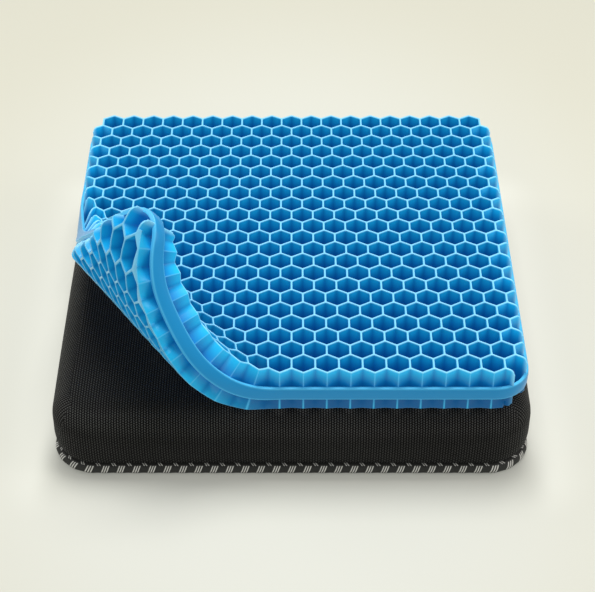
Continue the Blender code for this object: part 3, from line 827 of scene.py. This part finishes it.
# %% [markdown]
# ## Underside, foam and zip
# The base panel is a woven sheet inside the ring of cord, and the foam block fills the cover.
# The zip has two woven tapes, a nylon coil along each and a bound edge round its slot.

# %% Base, foam and zip
BASE_HEIGHT = 0.003
ZIP_Z = 0.034
TAPE_Y = 0.2024
TAPE_HALF = 0.1807
COIL_HALF = 0.1737


def weave_material(name, pitch, light, dark, roughness=0.8):
    """Plain weave: two sets of threads that pass over and under each other."""
    made, shader = material(name, Roughness=roughness)
    x, y, z = parts(S.node("TexCoord", output=3))
    a, b = (x + z) / pitch, (y + z) / pitch
    over = (a.floor() + b.floor()) / 2
    check = over.fract() > 0.25
    warp = ((a.fract() - 0.5) * math.pi).cos()
    weft = ((b.fract() - 0.5) * math.pi).cos()
    height = warp * check + weft * (1.0 - check)
    fleck = noise(S.node("TexCoord", output=3), 350.0, 3.0)
    S.put(mix(height * 0.7 + fleck * 0.3, rgb(dark), rgb(light)), shader.inputs["Base Color"])
    S.put(bump(height, pitch * 0.3, 0.8), shader.inputs["Normal"])
    return made


def make_base(made):
    """The base panel: a flat sheet whose edge rises a little into the ring of cord."""
    inset = CORD_INSET + CORD + 0.0002
    xs = divided([-(HALF_X - inset), HALF_X - inset], 0.012)
    ys = divided([-(HALF_Y - inset), HALF_Y - inset], 0.012)
    box, quads = box_grid(xs, ys, np.array([0.0, BASE_HEIGHT / 2, BASE_HEIGHT]))
    plan = PLAN_RADIUS - inset
    shape = wrap_box(box, HALF_X - inset, HALF_Y - inset, 0.0, BASE_HEIGHT, plan, 0.001, 0.0012, 0.0012)
    return new_piece("base_sheet", shape, quads, made)


def make_foam(made):
    """The foam block, a little smaller than the cover all round."""
    gap, low, low_roll, low_rise = 0.0045, 0.0036, 0.015, 0.018
    half_x, half_y, high, plan = HALF_X - gap, HALF_Y - gap, TOP_Z - gap, PLAN_RADIUS - gap
    box, quads = box_grid(divided([-half_x, half_x], 0.016), divided([-half_y, half_y], 0.016),
                          divided([low, high], 0.012))
    shape = wrap_box(box, half_x, half_y, low, high, plan, TOP_ROLL - gap, low_roll, low_rise)
    centre = smooth(1 - np.abs(shape[:, 0]) / HALF_X) * smooth(1 - np.abs(shape[:, 1]) / HALF_Y)
    shape[:, 2] -= 0.0008 * centre * (shape[:, 2] > 0.06)
    return new_piece("foam_block", shape, quads, made)


def foam_material():
    """Pale open-cell foam: small pores and a slow change of tint."""
    made, shader = material("foam", Roughness=0.95)
    coords = S.node("TexCoord", output=3)
    pores = S.node("TexVoronoi", {"Vector": coords, "Scale": 650.0})
    S.put(mix(noise(coords, 25.0, 3.0), rgb("E4DFCC"), rgb("D2CCB4")), shader.inputs["Base Color"])
    S.put(bump(pores, 0.0004, 0.7), shader.inputs["Normal"])
    return made


def make_tape(name, side, made):
    """One woven tape: a thin strip with a rounded edge where it meets the coil."""
    low, high = sorted((ZIP_Z + side * 0.0025, ZIP_Z + side * 0.0067))
    xs = np.linspace(-TAPE_HALF, TAPE_HALF, 121)
    angle = np.linspace(0, 2 * np.pi, 17)[:-1]
    flat = np.sign(np.cos(angle)) * np.abs(np.cos(angle)) ** 0.35
    y = TAPE_Y + 0.0005 * np.sign(np.sin(angle)) * np.abs(np.sin(angle)) ** 0.7
    z = (low + high) / 2 + (high - low) / 2 * flat
    ripple = 0.00008 * np.sin(xs * 620.0 + side)
    points = np.stack(np.broadcast_arrays(xs[:, None], y[None] + ripple[:, None], z[None]), axis=-1)
    quads = grid_faces(len(xs), len(angle), wrap_columns=True)
    caps = [tuple(range(16)), tuple(range((len(xs) - 1) * 16 + 15, (len(xs) - 1) * 16 - 1, -1))]
    return new_piece(name, points.reshape(-1, 3), quads.tolist() + caps, made, 50)


def make_coil(name, side, made):
    """One nylon coil: a thread wound round a core cord, its loops between those of the other coil.

    Each loop is an ellipse that reaches from the middle of the zip out over the core."""
    turns, per_turn, ring = 230, 10, 5
    loop_deep, loop_tall, thread_radius = 0.00062, 0.0012, 0.00030
    core_out, core_radius, core_places = 0.0013, 0.00045, 24
    pitch = 2 * COIL_HALF / turns
    t = np.arange(turns * per_turn + 1) / per_turn
    phase = 2 * np.pi * t
    x = -COIL_HALF + pitch * (t + 0.25 * side)
    z = ZIP_Z + side * loop_tall * (1 - np.cos(phase))
    path = np.stack([x, TAPE_Y + loop_deep * np.sin(phase), z], axis=1)
    ahead = np.gradient(path, axis=0)
    ahead /= np.linalg.norm(ahead, axis=1, keepdims=True)
    outward = path - np.stack([x, 0 * x + TAPE_Y, 0 * x + ZIP_Z + side * loop_tall], axis=1)
    outward -= ahead * (outward * ahead).sum(axis=1, keepdims=True)
    outward /= np.linalg.norm(outward, axis=1, keepdims=True)
    third = np.cross(ahead, outward)
    turn = 2 * np.pi * np.arange(ring) / ring
    thread = outward[:, None] * np.cos(turn)[:, None] + third[:, None] * np.sin(turn)[:, None]
    points = (path[:, None] + thread_radius * thread).reshape(-1, 3)
    quads = grid_faces(len(path), ring, wrap_columns=True)[:, ::-1]
    ends = np.linspace(-COIL_HALF, COIL_HALF, core_places)
    round_core = np.stack([0 * turn, np.cos(turn), np.sin(turn)], axis=1)
    line = np.stack([ends, 0 * ends + TAPE_Y, 0 * ends + ZIP_Z + side * core_out], axis=1)
    core = line[:, None] + core_radius * round_core
    core_quads = grid_faces(core_places, ring, wrap_columns=True, first=len(points))[:, ::-1]
    return new_piece(name, np.vstack([points, core.reshape(-1, 3)]), np.vstack([quads, core_quads]), made)


def make_binding(made):
    """The bound edge round the slot: part of a tube that turns from the cover's face in to the tapes."""
    past = 0.0008
    path, normal = rounded_loop(SLOT_X + past, (SLOT_HIGH - SLOT_LOW) / 2 + past, 0.002, 0.006, 4)
    angle = np.radians(np.linspace(-30, 210, 11))
    out = 0.0014 * np.cos(angle)
    y = 0.2030 + 0.0020 * np.sin(angle)
    xz = path[:, None] + normal[:, None] * out[..., None]
    points = np.stack([xz[..., 0], np.broadcast_to(y, xz.shape[:2]), xz[..., 1] + ZIP_Z], axis=-1)
    return new_piece("zip_binding", points.reshape(-1, 3), grid_faces(len(path), 11, wrap_rows=True), made)


def metal_material():
    """Black painted metal, worn a little brighter in fine patches."""
    made, shader = material("zip_metal", Metallic=0.6)
    worn = noise(S.node("TexCoord", output=3), 1800.0, 4.0).ramp(0.56, 0.70)
    S.put(mix(worn * 0.6, rgb("1A1A1C"), rgb("6A6A6E")), shader.inputs["Base Color"])
    S.put(0.38 - worn * 0.12, shader.inputs["Roughness"])
    S.put(bump(noise(S.node("TexCoord", output=3), 4000.0), 0.00003, 0.4), shader.inputs["Normal"])
    return made


def nylon_material():
    """Black nylon with a faint change of gloss."""
    made, shader = material("zip_nylon")
    cloud = noise(S.node("TexCoord", output=3), 500.0, 2.0)
    S.put(mix(cloud, rgb("0D0D0E"), rgb("1C1C1E")), shader.inputs["Base Color"])
    S.put(0.35 + cloud * 0.2, shader.inputs["Roughness"])
    return made


def on_cover(piece, node):
    """The piece moves with the cover and, where a CAD node is given, stands for it: that node is hidden."""
    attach(piece, "cover")
    if node:
        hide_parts(node)
    return piece


base_look = weave_material("base_fabric", 0.0016, "2C2C2E", "0A0A0B")
base = on_cover(make_base(base_look), "base_panel")
foam = on_cover(make_foam(foam_material()), "foam_core")
tape_look = weave_material("zip_tape", 0.0007, "262628", "0A0A0B")
nylon = nylon_material()
for which, lean in (("upper", 1), ("lower", -1)):
    on_cover(make_tape("zip_ribbon_" + which, lean, tape_look), "zip_tape_" + which)
    on_cover(make_coil("zip_teeth_" + which, lean, nylon), "zip_coil_" + which)
on_cover(make_binding(tape_look), None)
metal = metal_material()
for node in ("zip_stop_start", "zip_stop_end", "zip_slider", "zip_pull"):
    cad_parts[node].data.materials.clear()
    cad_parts[node].data.materials.append(metal)
print("base", len(base.data.polygons), "quads; foam", len(foam.data.polygons), "quads; zip done")

# %% [markdown]
# ## Stage, light and camera
# A pale floor whose own light is a little stronger beside the cushion (painted light) and weaker in
# front of it (a painted contact shadow), and whose colour and own light fade from the middle outwards
# (a painted pool of light); four soft lamps round the cushion, and a camera square to the front.

# %% Stage


def make_stage():
    """A pale matt floor under the cushion, whose colour and own light carry painted light and shadow.

    away is the distance from the middle, out the distance from the cushion's sides, and front
    is 1 in the strip before the front wall."""
    made, shader = material("floor", Roughness=0.9, Emission_Strength=0.40)
    x, y, _ = parts(S.node("TexCoord", output=3))
    away = (x * x * 2.5 + (y + 0.05) * (y + 0.05)).math("SQRT")
    # Painted pool of light: the floor's colour is lighter near the middle and darker and warmer further out.
    S.put(mix(away.ramp(0.25, 0.75), rgb("B3B4AC"), rgb("ABAA9D")), shader.inputs["Base Color"])
    out_x, out_y = (x.abs() - 0.21).most(0.0), (y.abs() - 0.205).most(0.0)
    out = (out_x * out_x + out_y * out_y).math("SQRT")
    # front marks the strip where the painted contact shadow goes.
    front = (y * -1.0).ramp(0.14, 0.20) * x.abs().ramp(0.23, 0.20)
    # The floor's own light is painted: lighter near the middle and fading outwards (a painted pool of light).
    painted_light_and_shadow = mix(away.ramp(0.25, 0.75), rgb("D1D2CA"), rgb("C9C8BA"))
    # Painted light beside the cushion's sides, where its shadow would fall.
    painted_light_and_shadow = mix(out.ramp(0.06, 0.0) * (1.0 - front), painted_light_and_shadow, rgb("ECEDE4"))
    # Painted contact shadow: the floor's own light is weaker just before the front wall.
    painted_light_and_shadow = mix(out.ramp(0.045, 0.0) * front, painted_light_and_shadow, rgb("B3B4AC"))
    S.put(painted_light_and_shadow, shader.inputs["Emission Color"])
    points = np.array([[-6, -4, 0], [6, -4, 0], [6, 8, 0], [-6, 8, 0]], float)
    floor = new_piece("floor", points, [(0, 1, 2, 3)], made)


def area_light(name, place, aim, size, power, colour):
    """A square area light at place, facing aim."""
    data = bpy.data.lights.new(name, "AREA")
    data.size, data.energy, data.color = size, power, colour
    lamp = bpy.data.objects.new(name, data)
    bpy.context.scene.collection.objects.link(lamp)
    lamp.location = place
    toward = np.array(aim) - np.array(place)
    lamp.rotation_euler = Vector(toward).to_track_quat("-Z", "Y").to_euler()


def make_world():
    """A warm white light from all round."""
    world = bpy.data.worlds.new("studio")
    bpy.context.scene.world = world
    world.use_nodes = True
    background = world.node_tree.nodes["Background"]
    background.inputs["Color"].default_value = (1.0, 0.985, 0.95, 1.0)
    background.inputs["Strength"].default_value = 0.36


def make_camera():
    """The product view: 40 degrees above the floor, square to the front."""
    data = bpy.data.cameras.new("camera")
    data.sensor_width, data.lens, data.shift_x = 36.0, 100.8, 0.01005
    camera = bpy.data.objects.new("camera", data)
    bpy.context.scene.collection.objects.link(camera)
    target = Vector((0.0, -0.0935, 0.1118))
    camera.location = (0.0, -1.2252, 1.0544)
    camera.rotation_euler = (target - camera.location).to_track_quat("-Z", "Y").to_euler()
    bpy.context.scene.camera = camera


bpy.context.scene.view_settings.view_transform = "Standard"
make_stage()
make_world()
make_camera()
area_light("top", (0.05, 0.44, 1.98), (0, 0, 0.05), 0.95, 35, (1.0, 0.99, 0.96))
area_light("front", (-0.3, -1.7, 1.3), (0, 0, 0.05), 1.2, 6, (0.98, 1.0, 1.0))
area_light("right", (1.5, -0.2, 1.0), (0, 0, 0.08), 0.8, 7, (1.0, 0.96, 0.97))
area_light("left", (-1.4, 0.5, 1.1), (0, 0, 0.08), 0.8, 5, (0.96, 0.98, 1.0))
